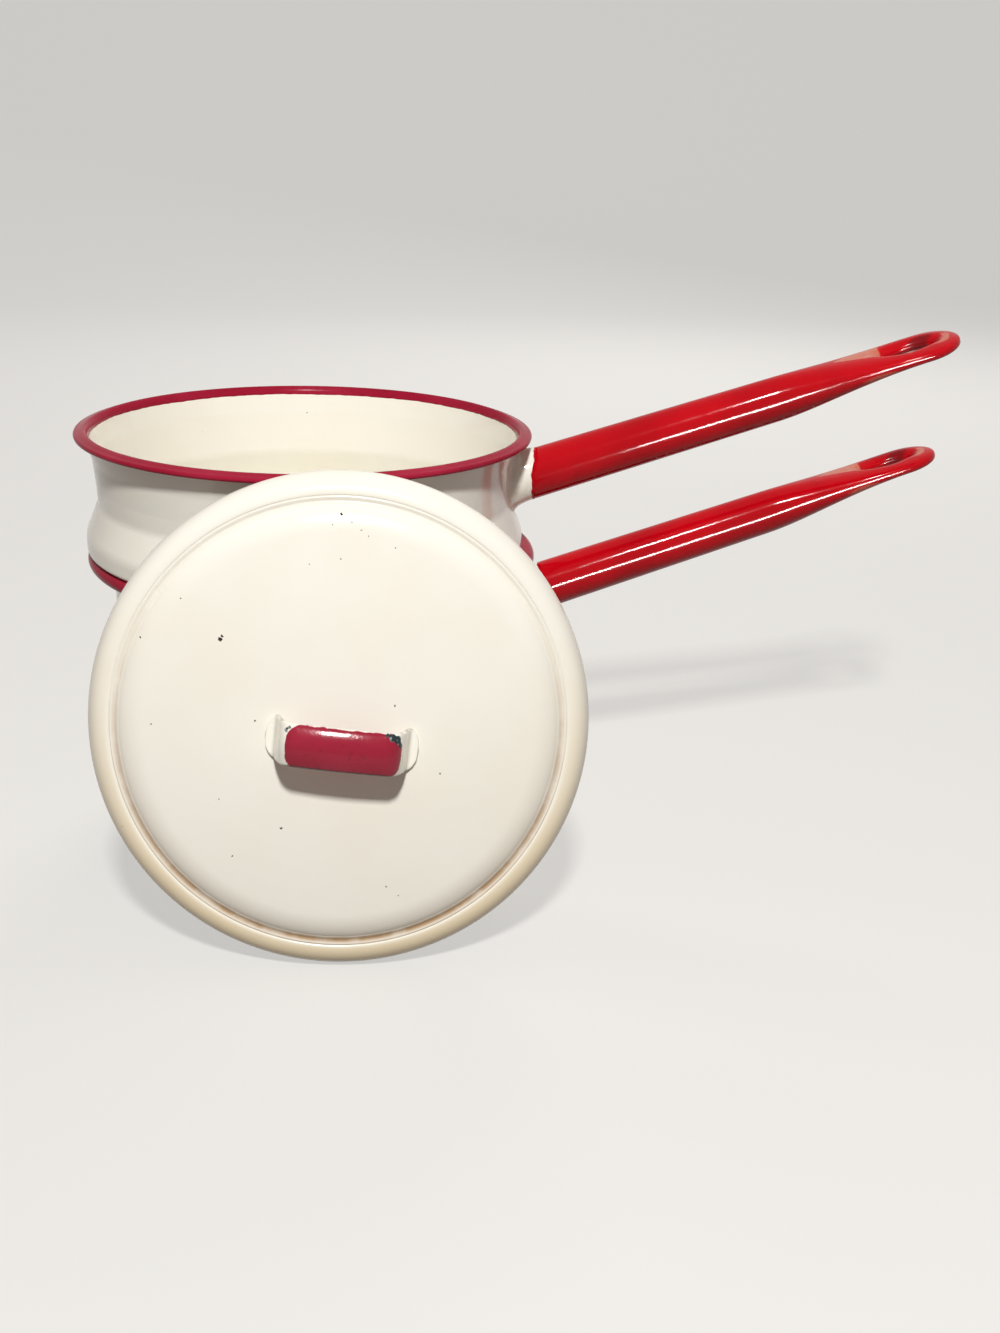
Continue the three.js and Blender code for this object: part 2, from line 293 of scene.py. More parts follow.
pot_section = sheet_section(fillet_path(POT_CORNERS), SHEET)
pot_shell = knit("pot_shell", [turned(pot_section)])
fired_enamel(pot_shell, "ivory_pot", pot_paint)
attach(pot_shell, "lower_pot")
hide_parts("lower_pot_body")


# Rim of the pot

# The pot's turned-out edge, curled over and brushed with a second coat of crimson enamel. The coat wraps the
# flange, and its inner edge wanders where the brush ran out.

RIM_RADIUS = 90.4
POT_CURL = 2.7
POT_TOP = 118.7
POT_RIM_UNDER = 85.1
POT_INNER_CORNER = (82.2, 2.4, 50, 90, 0.26)
POT_CREST = [(84.1, 118.4), (86.0, 118.67)]
COAT_START = 0.03
COAT_BACK = 0.01
COAT_LIFT = 0.02
RIM_FACETS = 720
RIM_WAVES = [(0.08, 7, 0.4), (0.05, 17, 2.0), (0.04, 41, 1.0), (0.04, 83, 0.2), (0.03, 127, 3.0)]
CRIMSON = (156, 25, 51)
ROSE = (182, 50, 78)
DARK_SPECK = (92, 10, 26)
RUBBED_LIP = (60, 30, 30)


def rim_section(curl, corner, crest, under, top, bottom):
    """Closed section round a flange, as (radius, height, and how far each moves with the ragged edge): up the
    rounded inner corner as an arc of (middle radius, arc radius, first and last angle, thickness of the
    coat), over the crest's points, round the lip as a half circle of radius curl, back below as a quarter
    ellipse, and along the flange."""
    middle, arc, first, last, coat = corner
    roll = RIM_RADIUS - curl
    flange = bottom + SHEET
    climb = np.radians(np.linspace(first, last, 9))
    free = np.linspace(1, 0, 9)

    def corner_arc(thickness):
        reach = arc + thickness
        return np.stack([
            middle - reach * np.cos(climb), flange - arc + reach * np.sin(climb),
            free * np.sin(climb), free * np.cos(climb),
        ], 1)

    inward = corner_arc(np.linspace(COAT_START, coat, 9))
    over = np.pad(crest, ((0, 0), (0, 2)))
    swing = np.radians(np.linspace(90, -90, 21))
    lip = np.stack([roll + curl * np.cos(swing), top - curl + curl * np.sin(swing), 0 * swing, 0 * swing], 1)
    back = np.radians(np.linspace(-90, -180, 13))[1:]
    fall = bottom - top + 2 * curl
    below = np.stack([
        roll + (roll - under) * np.cos(back), bottom + fall * np.sin(back), (back / back[-1]) ** 4, 0 * back,
    ], 1)
    end = middle + 0.6 * (roll - middle)
    low, high = bottom + COAT_LIFT, flange + COAT_LIFT
    inside = [(under, low, 1, 0), (end, low, 0, 0), (end, high, 0, 0)]
    return np.concatenate([inward, over, lip, below, inside, corner_arc(COAT_BACK)[::-1], inward[:1]])


def ragged_ring(section):
    """The section carried round the full circle, its ragged points moved by a sum of sines of the angle."""
    angle = np.linspace(0, 2 * math.pi, RIM_FACETS + 1)
    wander = sum(size * np.sin(count * angle + start) for size, count, start in RIM_WAVES)
    radius = section[:, :1] + section[:, 2:3] * wander
    height = section[:, 1:2] + section[:, 3:] * wander
    return np.stack([radius * np.cos(angle), radius * np.sin(angle), height], -1)


def crimson_paint(own):
    """Crimson enamel, a little rosier where the coat is thin, with dark pinholes and the lip rubbed in
    places."""
    thin = own.noise(40, 3).ramp(0.4, 0.75)
    shade = (thin * 0.4).mix(colour(CRIMSON), colour(ROSE))
    dark = own.noise(420, 2).ramp(0.64, 0.72) * 0.3
    shade = dark.mix(shade, colour(DARK_SPECK))
    rubbed = own.noise(130, 4, 0.65).ramp(0.67, 0.75)
    chips = rubbed * own.length(1, 1, 0).ramp(0.0895, 0.0905)
    return chips.ramp(0.2, 0.8).mix(shade, colour(RUBBED_LIP)), chips * 0.6


pot_rim_section = rim_section(POT_CURL, POT_INNER_CORNER, POT_CREST, POT_RIM_UNDER, POT_TOP, POT_FLANGE)
pot_rim = knit("pot_rim_coat", [ragged_ring(pot_rim_section)])
fired_enamel(pot_rim, "crimson_pot_rim", crimson_paint, gloss=0.2, sheen=0.06)
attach(pot_rim, "lower_pot")
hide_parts("lower_pot_rim")


# Root of the pot's handle

# The handle is one steel tube, flared and welded to the wall under the rim. Its first centimetre keeps the
# pot's white enamel, and the red begins at an upright, slightly wavy line.

RISE = math.radians(19.2)
TUBE_LENGTH = 175.0
TUBE_RADIUS = 9.9
TUBE_NARROWING = 1.9
PRESSED_FROM = 0.57 * TUBE_LENGTH
PRESSED_SQUARE = 0.9
FLARE = 2.0
FLARE_LENGTH = 9.0
WELD = 0.8
WELD_LENGTH = 2.8
WALL_BELOW = 29.0
WALL_SINK = 0.5
WALL_ROUNDS = 14
WALL_START = -9.0
EYE_MIDDLE = 155.0
EYE_REACH = 30.0
TIP_RADIUS = 14.25
TIP_MIDDLE = TUBE_LENGTH - TIP_RADIUS
EYE_HALF_THICK = 3.2
EYE_LIFT = 2.4
HOLE = (11.5, 5.6)
HOLE_ROUNDING = 5.2
HALF_RING = 49
AROUND = np.linspace(0, 2 * math.pi, 2 * HALF_RING - 1)
POT_ROLL = math.radians(-1.9)
POT_HANDLE_AT = (92.8, 0, 99.48)
POT_HANDLE = (
    Matrix.Translation(POT_HANDLE_AT) @ Matrix.Rotation(-RISE, 4, "Y") @ Matrix.Rotation(POT_ROLL, 4, "X")
)


def smooth_share(value, low, high):
    """0 below low, 1 above high, and a smooth cubic step between."""
    share = np.clip((value - low) / (high - low), 0, 1)
    return share * share * (3 - 2 * share)


def tube_size(along):
    """Half width, half thickness, lift and roundness power of the handle at each distance along it: a slowly
    narrowing round tube that is pressed flat and wide towards its eye."""
    flat = smooth_share(along, PRESSED_FROM, TIP_MIDDLE)
    radius = TUBE_RADIUS - TUBE_NARROWING * np.maximum(along, 0) / TUBE_LENGTH
    half_width = radius + (TIP_RADIUS - radius) * flat
    half_thick = radius + (EYE_HALF_THICK - radius) * flat
    return half_width, half_thick, EYE_LIFT * flat, 2 + PRESSED_SQUARE * flat


def seam_line(roll):
    """Distance along the tube, at each angle round it, of the upright line where red meets white: the tilted
    plane's sine of the angle, with a small wave on it that starts elsewhere on each handle."""
    start = 20 * roll
    wave = 0.35 * np.sin(3 * AROUND + start) + 0.22 * np.sin(7 * AROUND + 2 * start)
    wave = wave + 0.12 * np.sin(17 * AROUND)
    return TUBE_RADIUS * np.sin(AROUND + roll) * math.tan(RISE) + wave


def reach_wall(across, up, place, section):
    """Distance along the tube at which the line through (across, up) sinks half a millimetre into the
    vessel's wall: the radius that is missing is added, again and again, until the point lies on the wall's
    profile."""
    along = np.full_like(across, WALL_START)
    turn = np.array(place)
    rows = section[:np.argmax(section[:, 0] + section[:, 1]) + 1]
    rows = rows[rows[:, 1] > turn[2, 3] - WALL_BELOW]
    for _ in range(WALL_ROUNDS):
        out, aside, height, _ = np.tensordot(turn, np.stack([along, across, up, np.ones_like(along)]), 1)
        wall = np.interp(height, rows[:, 1], rows[:, 0])
        along = along + (wall - WALL_SINK - np.hypot(out, aside)) / math.cos(RISE)
    return along


def root_grids(place, section, roll):
    """The tube from the wall to the seam line. Its radius grows with the square of the nearness to the wall,
    once slowly for the flare and once sharply for the weld. A cap closes each end."""
    wide = TUBE_RADIUS + FLARE + WELD
    foot = reach_wall(wide * np.cos(AROUND), wide * np.sin(AROUND), place, section)
    share = np.linspace(0, 1, 33)[:, None] ** 1.8
    along = foot + (seam_line(roll) - foot) * share
    near = np.clip(1 - (along - foot) / FLARE_LENGTH, 0, 1) ** 2
    weld = np.clip(1 - (along - foot - WALL_SINK) / WELD_LENGTH, 0, 1) ** 2
    radius = tube_size(along)[0] + FLARE * near + WELD * weld
    skin = np.stack([along, radius * np.cos(AROUND), radius * np.sin(AROUND)], -1)
    inward = np.linspace(0, 1, 6)[:, None]
    cap_across, cap_up = inward * skin[0, :, 1], inward * skin[0, :, 2]
    inner_cap = np.stack([reach_wall(cap_across, cap_up, place, section), cap_across, cap_up], -1)
    inner_cap[-1] = skin[0]
    return [skin, inner_cap, end_cap(skin[-1])]


def end_cap(ring):
    """Flat fan from a ring's middle out to the ring."""
    middle = ring[:-1].mean(axis=0)
    return middle + (ring - middle) * np.linspace(0, 1, 4)[:, None, None]


def root_paint(own):
    """White enamel, greyed in patches towards the weld."""
    along, _, up = own.parts()
    seam = along - up * math.tan(RISE)
    grey = seam.ramp(-0.0045, -0.007) * own.noise(160, 4).ramp(0.3, 0.62)
    return ivory_paint(own, (), grey * 0.35)


pot_root = knit("pot_handle_root", root_grids(POT_HANDLE, pot_section, POT_ROLL), POT_HANDLE)
fired_enamel(pot_root, "ivory_pot_root", root_paint)
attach(pot_root, "lower_pot")
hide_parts("lower_handle_root")


# Red tube of the pot's handle

# The same tube, dipped in bright red enamel. Its end is pressed flat and wide round an oval eye for hanging,
# and the walls of the eye are rolled in, so the end is a rounded loop.

EYE_START = EYE_MIDDLE - EYE_REACH
CROSS = np.cos(np.linspace(0, math.pi, HALF_RING))
RED = (198, 6, 22)
DEEP_RED = (162, 4, 18)
PALE_TAN = (210, 128, 106)
MAROON = (104, 22, 26)
NICK = (70, 12, 16)
EDGE_TAN = ((143.0, -12.6, -1.2), (12.0, 3.0, 2.8))
EYE_DARK_PATCH = ((162.0, 6.0, 3.2), (7.0, 3.0, 3.6))


def handle_face(along, across, side):
    """Height of the handle's upper (side 1) or lower (side -1) face: a rounded crown over the outline, which
    is the tube's sides or the tip's circle, rolled down in a quarter circle at the edge of the eye."""
    half_width, half_thick, lift, power = tube_size(along)
    beyond = along > TIP_MIDDLE
    edge = np.where(beyond, np.hypot(across, along - TIP_MIDDLE) / TIP_RADIUS, np.abs(across) / half_width)
    crown = (1 - np.clip(edge, 0, 1) ** power) ** (1 / power)
    from_middle = np.hypot((along - EYE_MIDDLE) / HOLE[0], across / HOLE[1])
    outward = (from_middle - 1) * np.hypot(along - EYE_MIDDLE, across)
    apart = np.clip(outward / np.maximum(from_middle, 1e-9), 0, None)
    rolled = np.sqrt(np.clip(1 - (1 - np.minimum(apart / HOLE_ROUNDING, 1)) ** 2, 0, 1))
    return lift + side * half_thick * crown * np.where(apart < HOLE_ROUNDING, rolled, 1)


def eye_grid(side):
    """One face of the loop: rays from the edge of the eye to the outline, closer together near both. The
    outline runs across the tube, down one side, round the tip and back up the other side."""
    side_run = np.linspace(EYE_START, TIP_MIDDLE, 37)[1:]
    tip = np.linspace(-math.pi / 2, math.pi / 2, 49)[1:-1]
    start_width = tube_size(np.array(EYE_START))[0]
    round_tip = TIP_MIDDLE + TIP_RADIUS * np.cos(tip)
    along = np.concatenate([
        np.full(HALF_RING, EYE_START), side_run, round_tip, side_run[::-1], [EYE_START],
    ])
    width = tube_size(side_run)[0]
    across = np.concatenate([
        start_width * CROSS, -width, TIP_RADIUS * np.sin(tip), width[::-1], [start_width],
    ])
    turn = np.arctan2(across / HOLE[1], (along - EYE_MIDDLE) / HOLE[0])
    share = ((1 - np.cos(math.pi * np.linspace(0, 1, 31))) / 2)[:, None]
    ray_along = (EYE_MIDDLE + HOLE[0] * np.cos(turn)) * (1 - share) + along * share
    ray_across = HOLE[1] * np.sin(turn) * (1 - share) + across * share
    up = handle_face(ray_along, ray_across, side)
    up[-1, HALF_RING:] = tube_size(along[HALF_RING:])[2]
    up[0] = tube_size(ray_along[0])[2]
    return np.stack([ray_along, ray_across, up], -1)


def tube_grids(roll):
    """The red tube: rings from the seam line to the eye, each a circle that turns into a flattened oval, then
    both faces of the eye's loop. A cap closes the hidden end."""
    steps = np.linspace(0, 1, 73)[:, None]
    seam = seam_line(roll)
    along = seam + (EYE_START - seam) * steps
    half_width, half_thick, lift, power = tube_size(along)
    across = np.concatenate([CROSS, CROSS[-2::-1]])
    side = np.concatenate([np.ones(HALF_RING), -np.ones(HALF_RING - 1)])
    crown = (1 - np.abs(across) ** power) ** (1 / power)
    skin = np.stack([along, half_width * across, lift + side * half_thick * crown], -1)
    return [skin, end_cap(skin[0]), eye_grid(1), eye_grid(-1)]


def within(place, middle, reach):
    """Distance of a place from a middle, as a share of an ellipsoid's half sizes, given in millimetres."""
    away = place.shifted(tuple(-METRE * part for part in middle))
    return away.length(*(1 / (METRE * part) for part in reach))


def red_paint(own):
    """Bright red enamel: deeper where the coat ran thick, a pale dull tan on the pressed top before the eye,
    along the inner edge of the tip, round the eye and below the near side, a dark maroon patch on the eye's
    far wall, and a few dark nicks."""
    deep = own.noise(34, 3).ramp(0.42, 0.72)
    shade = (deep * 0.45).mix(colour(RED), colour(DEEP_RED))
    ragged = frayed(own, 2.2, 300)
    along, across, up = frayed(own, 1.1, 500).parts()
    top = (along * 0.9 - across).ramp(0.1127, 0.1133) * (along * 0.29 + across).ramp(0.0366, 0.0370)
    top = top * along.ramp(0.1452, 0.1442) * up.ramp(0.0015, 0.0025)
    from_tip = ragged.shifted((-TIP_MIDDLE * METRE, 0, 0)).length(1, 1, 0)
    tip = from_tip.ramp(0.0078, 0.0086) * from_tip.ramp(0.0110, 0.0100) * across.ramp(0.0035, 0.0015)
    tip = tip * across.ramp(-0.0090, -0.0070) * along.ramp(0.1625, 0.1645) * up.ramp(0.0035, 0.0045)
    from_eye = within(own, (EYE_MIDDLE, 0, 0), (*HOLE, math.inf))
    line = from_eye.ramp(1.08, 1.16) * from_eye.ramp(1.36, 1.26)
    line = line * up.ramp(0.0030, 0.0045) * across.ramp(0.0010, -0.0010)
    edge = within(ragged, *EDGE_TAN).ramp(1.0, 0.6)
    patchy = own.noise(300, 4, 0.65).ramp(0.22, 0.46) * 0.4 + 0.6
    # Pale tan patches, also rougher and slightly sunk: the pressed top before the eye, the tip's inner edge,
    # round the eye, below the near side.
    tan_patches = top.most(tip * 0.8).most(line * 0.45).most(edge * 0.6) * patchy
    # A dark maroon patch on the eye's far wall, also a little dulled.
    dark_patch = within(ragged, *EYE_DARK_PATCH).ramp(1.0, 0.5)
    nicks = own.noise(210, 5, 0.7).ramp(0.735, 0.77)
    shade = (dark_patch * 0.75).mix(shade, colour(MAROON))
    shade = (tan_patches * 0.9).mix(shade, colour(PALE_TAN))
    shade = nicks.mix(shade, colour(NICK))
    return shade, tan_patches * 0.3 + dark_patch * 0.2 + nicks * 0.4


pot_tube = knit("pot_handle_tube", tube_grids(POT_ROLL), POT_HANDLE)
fired_enamel(pot_tube, "red_pot_handle", red_paint, gloss=0.1, sheen=0.12)
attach(pot_tube, "lower_pot")
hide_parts("lower_handle")


# Upper pan

# The pan that nests in the pot: drawn from the same sheet, with a narrow insert that hangs in the steam, a
# shoulder that sits on the pot's rim, a pinched waist and an upright neck. White enamel inside and out.

PAN_FLANGE = 165.3
PAN_CORNERS = [
    (0, 72, 0), (74.3, 72, 14), (75.8, 117.9, 1.2), (76.6, 119.0, 0.8), (87.7, 119.0, 2), (87.7, 126.5, 10),
    (82.55, 138.8, 7), (82.9, 146, 8), (83.8, 156, 14), (86.0, PAN_FLANGE, 2), (88, PAN_FLANGE, 0),
]
PAN_SHIFT = -2.7
PAN_TURN = math.radians(-5.6)
PAN_PLACE = Matrix.Translation((PAN_SHIFT, 0, 0)) @ Matrix.Rotation(PAN_TURN, 4, "Z")
PAN_CHIPS = [
    (-83.4, -8, 152, 0.8), (-70, 46, 155, 0.9), (20, 82, 140, 1.1), (-30, -82, 125, 0.8), (76, 40, 122, 1.2),
]


def pan_paint(own):
    """White enamel, faintly stained in patches over the floor."""
    stain_and_shade = own.parts()[2].ramp(0.080, 0.072) * own.noise(70, 4).ramp(0.35, 0.7) * 0.1
    return ivory_paint(own, PAN_CHIPS, stain_and_shade)


pan_section = sheet_section(fillet_path(PAN_CORNERS), SHEET)
pan_shell = knit("pan_shell", [turned(pan_section)], PAN_PLACE)
fired_enamel(pan_shell, "ivory_pan", pan_paint)
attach(pan_shell, "upper_pan")
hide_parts("upper_pan_body")


# Rim and handle of the pan

# The same rolled crimson rim as the pot's, on a narrower flange, and the same red tube, welded a little
# nearer to the rim. The pan stands turned a few degrees in the pot, as it was set down.

PAN_CURL = 1.05
PAN_TOP = 166.6
PAN_RIM_UNDER = 86.6
PAN_INNER_CORNER = (87.58, 3.2, 13, 55, 0.9)
PAN_CREST = [(85.6, 167.2), (86.1, 167.5), (86.8, 167.5), (87.8, 167.15), (88.8, 166.75)]
PAN_ROLL = math.radians(5.6)
PAN_HANDLE_AT = (91.1, 0, 150.19)
PAN_HANDLE = (
    PAN_PLACE @ Matrix.Translation(PAN_HANDLE_AT) @ Matrix.Rotation(-RISE, 4, "Y")
    @ Matrix.Rotation(PAN_ROLL, 4, "X")
)

pan_rim_section = rim_section(PAN_CURL, PAN_INNER_CORNER, PAN_CREST, PAN_RIM_UNDER, PAN_TOP, PAN_FLANGE)
pan_rim = knit("pan_rim_coat", [ragged_ring(pan_rim_section)], PAN_PLACE)
fired_enamel(pan_rim, "crimson_pan_rim", crimson_paint, gloss=0.2, sheen=0.06)
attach(pan_rim, "upper_pan")
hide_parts("upper_pan_rim")

untwisted = PAN_PLACE.inverted() @ PAN_HANDLE
pan_root = knit("pan_handle_root", root_grids(untwisted, pan_section, PAN_ROLL), PAN_HANDLE)
fired_enamel(pan_root, "ivory_pan_root", root_paint)
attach(pan_root, "upper_pan")
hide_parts("upper_handle_root")

pan_tube = knit("pan_handle_tube", tube_grids(PAN_ROLL), PAN_HANDLE)
fired_enamel(pan_tube, "red_pan_handle", red_paint, gloss=0.1, sheen=0.12)
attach(pan_tube, "upper_pan")
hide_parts("upper_handle")


# Lid

# A disc pressed from sheet: a low dome, a narrow flat with two fine grooves, and a rounded border whose edge
# is curled under. White enamel, with painted shade in the grooves, a painted warm reflection on the lower
# border, and small chips on the dome.

LID_AT = (11.6, -120.32, 87.33)
LID_TURN = math.radians(-1.9)
LID_LEAN = math.radians(77.5)
LID_PLACE = Matrix.Translation(LID_AT) @ Matrix.Rotation(LID_TURN, 4, "Z") @ Matrix.Rotation(LID_LEAN, 4, "X")
LID_RADIUS = 87.4
CREST = 79.4
BORDER_DEPTH = 9.0
CURL = 2.4
DOME_RADIUS = 67.1
DOME_RISE = 3.4
SHOULDER = (9.0, 3.6)
FLAT_START = 75.5
FLAT_LEVEL = 77.5
LID_FACETS = 320
WARM_REFLECTION = (246, 226, 186)
GROOVES = [(77.0, 0.55, 1.1), (78.9, 0.25, 0.35)]
LID_CHIPS = [
    (-40.1, 30.0, 0.9), (-39.3, 31.2, 0.6), (-67.3, 30.1, 0.45), (-75.8, -30.1, 0.6), (-53.4, 43.6, 0.35),
    (-40.9, -24.9, 0.35), (-28.4, 2.5, 0.5), (-19.8, -35.2, 0.45), (19.0, 8.1, 0.45), (34.6, -15.6, 0.3),
    (20.5, -59.5, 0.5), (16.7, -56.2, 0.4), (-2.5, 69.0, 0.4), (0.5, 72.7, 0.5), (3.9, 70.1, 0.35),
    (7.3, 67.4, 0.4), (9.4, 65.6, 0.35), (18.6, 61.7, 0.3), (0.4, 57.8, 0.35), (-10.3, 55.7, 0.3),
    (-36.7, -45.1, 0.3),
]


def dome_height(radius):
    """Height of the lid's front face: a parabola, less an ellipse's fall over the shoulder beyond the
    dome."""
    over = np.clip((radius - DOME_RADIUS) / SHOULDER[0], 0, 1)
    dome = DOME_RISE * (1 - (radius / DOME_RADIUS) ** 2)
    return SHOULDER[1] + dome - SHOULDER[1] * (1 - np.sqrt(1 - over ** 2))


def lid_path():
    """Front face from the middle out: dome and shoulder, a narrow flat with the grooves as dips of a bell
    curve, a quarter ellipse for the border, and the curl as most of a circle."""
    inner = np.concatenate([np.linspace(0, 66, 28), np.linspace(67, 75.4, 22), np.linspace(75.6, CREST, 46)])
    onward = inner >= FLAT_START
    height = np.where(onward, 0, dome_height(inner))
    step_down = dome_height(np.array(FLAT_START))
    height[onward] = step_down * (1 - smooth_share(inner[onward], FLAT_START, FLAT_LEVEL))
    for radius, depth, width in GROOVES:
        height = height - depth * np.exp(-((inner - radius) / width) ** 2)
    border = np.radians(np.linspace(90, 0, 29))[1:]
    curl = np.radians(np.linspace(0, -205, 25))[1:]
    return np.concatenate([
        np.stack([inner, height], 1),
        np.stack([CREST + (LID_RADIUS - CREST) * np.cos(border), BORDER_DEPTH * (np.sin(border) - 1)], 1),
        np.stack([LID_RADIUS - CURL + CURL * np.cos(curl), CURL * np.sin(curl) - BORDER_DEPTH], 1),
    ])


def lid_paint(own):
    """White enamel with painted tan-brown shade along both grooves of the front and over the shoulder, stronger
    low on the leaning lid, where it also stands for warm light reflected from below and the border is painted
    warmer for the same reflection."""
    _, y, z = own.parts()
    radius = own.length(1, 1, 0)
    below = y.ramp(0.05, -0.075)
    uneven = own.noise(120, 3).ramp(0.25, 0.6) * 0.4 + 0.6
    inner_line = radius.ramp(0.0750, 0.0766) * radius.ramp(0.0788, 0.0772)
    outer_line = radius.ramp(0.0783, 0.0786) * radius.ramp(0.0791, 0.0788)
    shoulder_shade = radius.ramp(0.066, 0.0765) * radius.ramp(0.0784, 0.0772)
    front = z.ramp(-0.0018, -0.0012)
    # Painted shade and, low on the lid, painted warm reflection: tan-brown along both grooves and the lower
    # shoulder, uneven in strength.
    groove_shade = (inner_line * (below * 0.8 + 0.12)).most(outer_line * (below * 0.45 + 0.12)) * uneven
    border = radius.ramp(0.0785, 0.081) * z.ramp(-0.008, -0.002)
    marks = [(u, v, float(dome_height(np.hypot(u, v))), size) for u, v, size in LID_CHIPS]
    shade, chips = ivory_paint(own, marks, groove_shade.most(shoulder_shade * below * 0.2) * front)
    # Painted warm reflection: the lower border turned cream-yellow, for warm light reflected up from below.
    return (border * below * 0.8).mix(shade, colour(WARM_REFLECTION)), chips


lid_section = sheet_section(lid_path(), -SHEET)
lid_shell = knit("lid_shell", [turned(lid_section, LID_FACETS)], LID_PLACE)
fired_enamel(lid_shell, "ivory_lid", lid_paint, gloss=0.22, sheen=0.2)
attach(lid_shell, "lid")
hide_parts("lid_body")


# Strap of the lid

# A strip of steel, crowned across its width and bent to a bridge, its two feet welded flat on the dome. White
# enamel with a patch of crimson on its top, chipped to dark steel at the patch's upper corners.

STRAP_SHEET = 1.8
STRAP_HALF_WIDTH = 7.4
STRAP_FOOT = 4.0
STRAP_LOW = 7.25
STRAP_TOP = 23.2
STRAP_CORNERS = [
    (-26.3, STRAP_LOW, 0), (-22.2, STRAP_LOW, 2.2), (-18.9, STRAP_TOP, 6), (18.9, STRAP_TOP, 6),
    (22.2, STRAP_LOW, 2.2), (26.3, STRAP_LOW, 0),
]
STRAP_ARCH = 0.8
STRAP_ARCH_HALF = 14.5
STRAP_CROWN = 2.2
CROWN_FADE = (9, 24)
STRAP_AT = (1.1, -4.6, 0)
STRAP_TURN = math.radians(-5.7)
STRAP_PLACE = LID_PLACE @ Matrix.Translation(STRAP_AT) @ Matrix.Rotation(STRAP_TURN, 4, "Z")
PATCH = (19.5, 7.6)
PATCH_SHIFT = (1.5, -0.4)
PATCH_ROUNDING = 4.5
STRAP_CHIPS = [
    (-18.6, 5.2, 1.1), (-17.6, 5.9, 0.7), (15.4, 6.9, 1.0), (17.4, 6.2, 1.8), (19.2, 5.2, 1.9),
    (20.4, 3.6, 1.3), (-17.4, -6.2, 0.5), (8.2, -1.0, 0.25),
]
STRAP_BARE = [(-17.9, -5.9, -0.8, 1.0)]
STEEL = (34, 52, 56)
SCRATCHED_STEEL = (150, 158, 156)
LEG_EDGE_BROWN = (120, 84, 66)
EDGE_SHADE = (58, 28, 32)


def strap_grid():
    """The strip's closed section carried along its bent path. The section is a crowned bar with half-round
    edges; it narrows as half an ellipse at each foot, and its crown fades down the legs."""
    path = fillet_path(STRAP_CORNERS, spacing=0.8, steps=13)
    step = np.gradient(path, axis=0)
    ahead = step / np.linalg.norm(step, axis=1, keepdims=True)
    run = np.append(0, np.cumsum(np.linalg.norm(np.diff(path, axis=0), axis=1)))
    arch = STRAP_ARCH * np.clip(1 - (path[:, 0] / STRAP_ARCH_HALF) ** 2, 0, 1)
    path[:, 1] += arch * (path[:, 1] > STRAP_TOP - 1)
    from_end = np.minimum(run, run[-1] - run)
    foot = np.clip(from_end / STRAP_FOOT, 0, 1)
    half_width = STRAP_HALF_WIDTH * np.sqrt(1 - (1 - foot) ** 2)[:, None]
    crown = STRAP_CROWN * smooth_share(from_end, *CROWN_FADE)[:, None]
    thick = np.minimum(STRAP_SHEET / 2, half_width)
    swing = np.radians(np.linspace(90, -90, 11))
    flat = np.linspace(-1, 1, 25)
    share = np.concatenate([flat, np.ones(9), flat[::-1], -np.ones(9), flat[:1]])
    bulge = np.concatenate([np.zeros(25), np.cos(swing[1:-1]), np.zeros(25), -np.cos(swing[1:-1]), [0]])
    side = np.concatenate([np.ones(25), np.sin(swing[1:-1]), -np.ones(25), -np.sin(swing[1:-1]), [1]])
    across = share * (half_width - thick) + bulge * thick
    out = side * thick - crown * (across / STRAP_HALF_WIDTH) ** 2
    x = path[:, :1] - ahead[:, 1:] * out
    z = path[:, 1:] + ahead[:, :1] * out
    middle = (run - run[-1] / 2)[:, None]
    return np.stack([x, across + 0 * x, z], -1), np.stack([middle + 0 * out, across + 0 * x, out], -1)


def strap_paint(own):
    """White enamel with a crimson patch on the outer face: a rectangle with well rounded corners and a ragged
    edge, with painted shade along the strap's lower edge, and chips at its corners."""
    _, across, out = own.parts()
    shade, dull = ivory_paint(own)
    ragged = frayed(own, 1.0, 420)
    moved = ragged.shifted((-PATCH_SHIFT[0] * METRE, -PATCH_SHIFT[1] * METRE, 0))
    corner = moved.node("ShaderNodeVectorMath", {"operation": "ABSOLUTE"}, {0: moved})
    inset = corner.shifted([(PATCH_ROUNDING - PATCH[0]) * METRE, (PATCH_ROUNDING - PATCH[1]) * METRE, -1.0])
    inset = inset.node("ShaderNodeVectorMath", {"operation": "MAXIMUM"}, {0: inset, 1: (0, 0, 0)})
    outline = inset.length().ramp((PATCH_ROUNDING + 0.15) * METRE, (PATCH_ROUNDING - 0.15) * METRE)
    patch = outline * out.ramp(-0.0030, -0.0026)
    red, _ = crimson_paint(own)
    shade = patch.mix(shade, red)
    marks = []
    for middle, side, size in STRAP_CHIPS:
        marks.append((middle, side, STRAP_SHEET / 2 - STRAP_CROWN * (side / STRAP_HALF_WIDTH) ** 2, size))
    chips = spots(own, marks)
    shade = chips.ramp(0.15, 0.6).mix(shade, colour(STEEL))
    scratched = own.noise(700, 3).ramp(0.56, 0.62) * chips
    shade = scratched.mix(shade, colour(SCRATCHED_STEEL))
    shade = spots(own, STRAP_BARE).mix(shade, colour(IVORY))
    # Brown along the side edges of the legs, in patches.
    sides = own.node("ShaderNodeVectorMath", {"operation": "ABSOLUTE"}, {0: own}).parts()
    legs = sides[1].ramp(0.0066, 0.0072) * sides[0].ramp(0.0200, 0.0230) * own.noise(190, 4).ramp(0.35, 0.55)
    shade = (legs * 0.45).mix(shade, colour(LEG_EDGE_BROWN))
    # Painted shade along the strap's lower, rounded edge, broken up in places.
    broken = own.noise(260, 4).ramp(0.3, 0.5) * 0.3 + 0.7
    lower_edge_shade = across.ramp(-0.0064, -0.0069) * out.ramp(0.0, -0.0010) * broken
    return (lower_edge_shade * 0.85).mix(shade, colour(EDGE_SHADE)), dull.most(chips * 0.6)


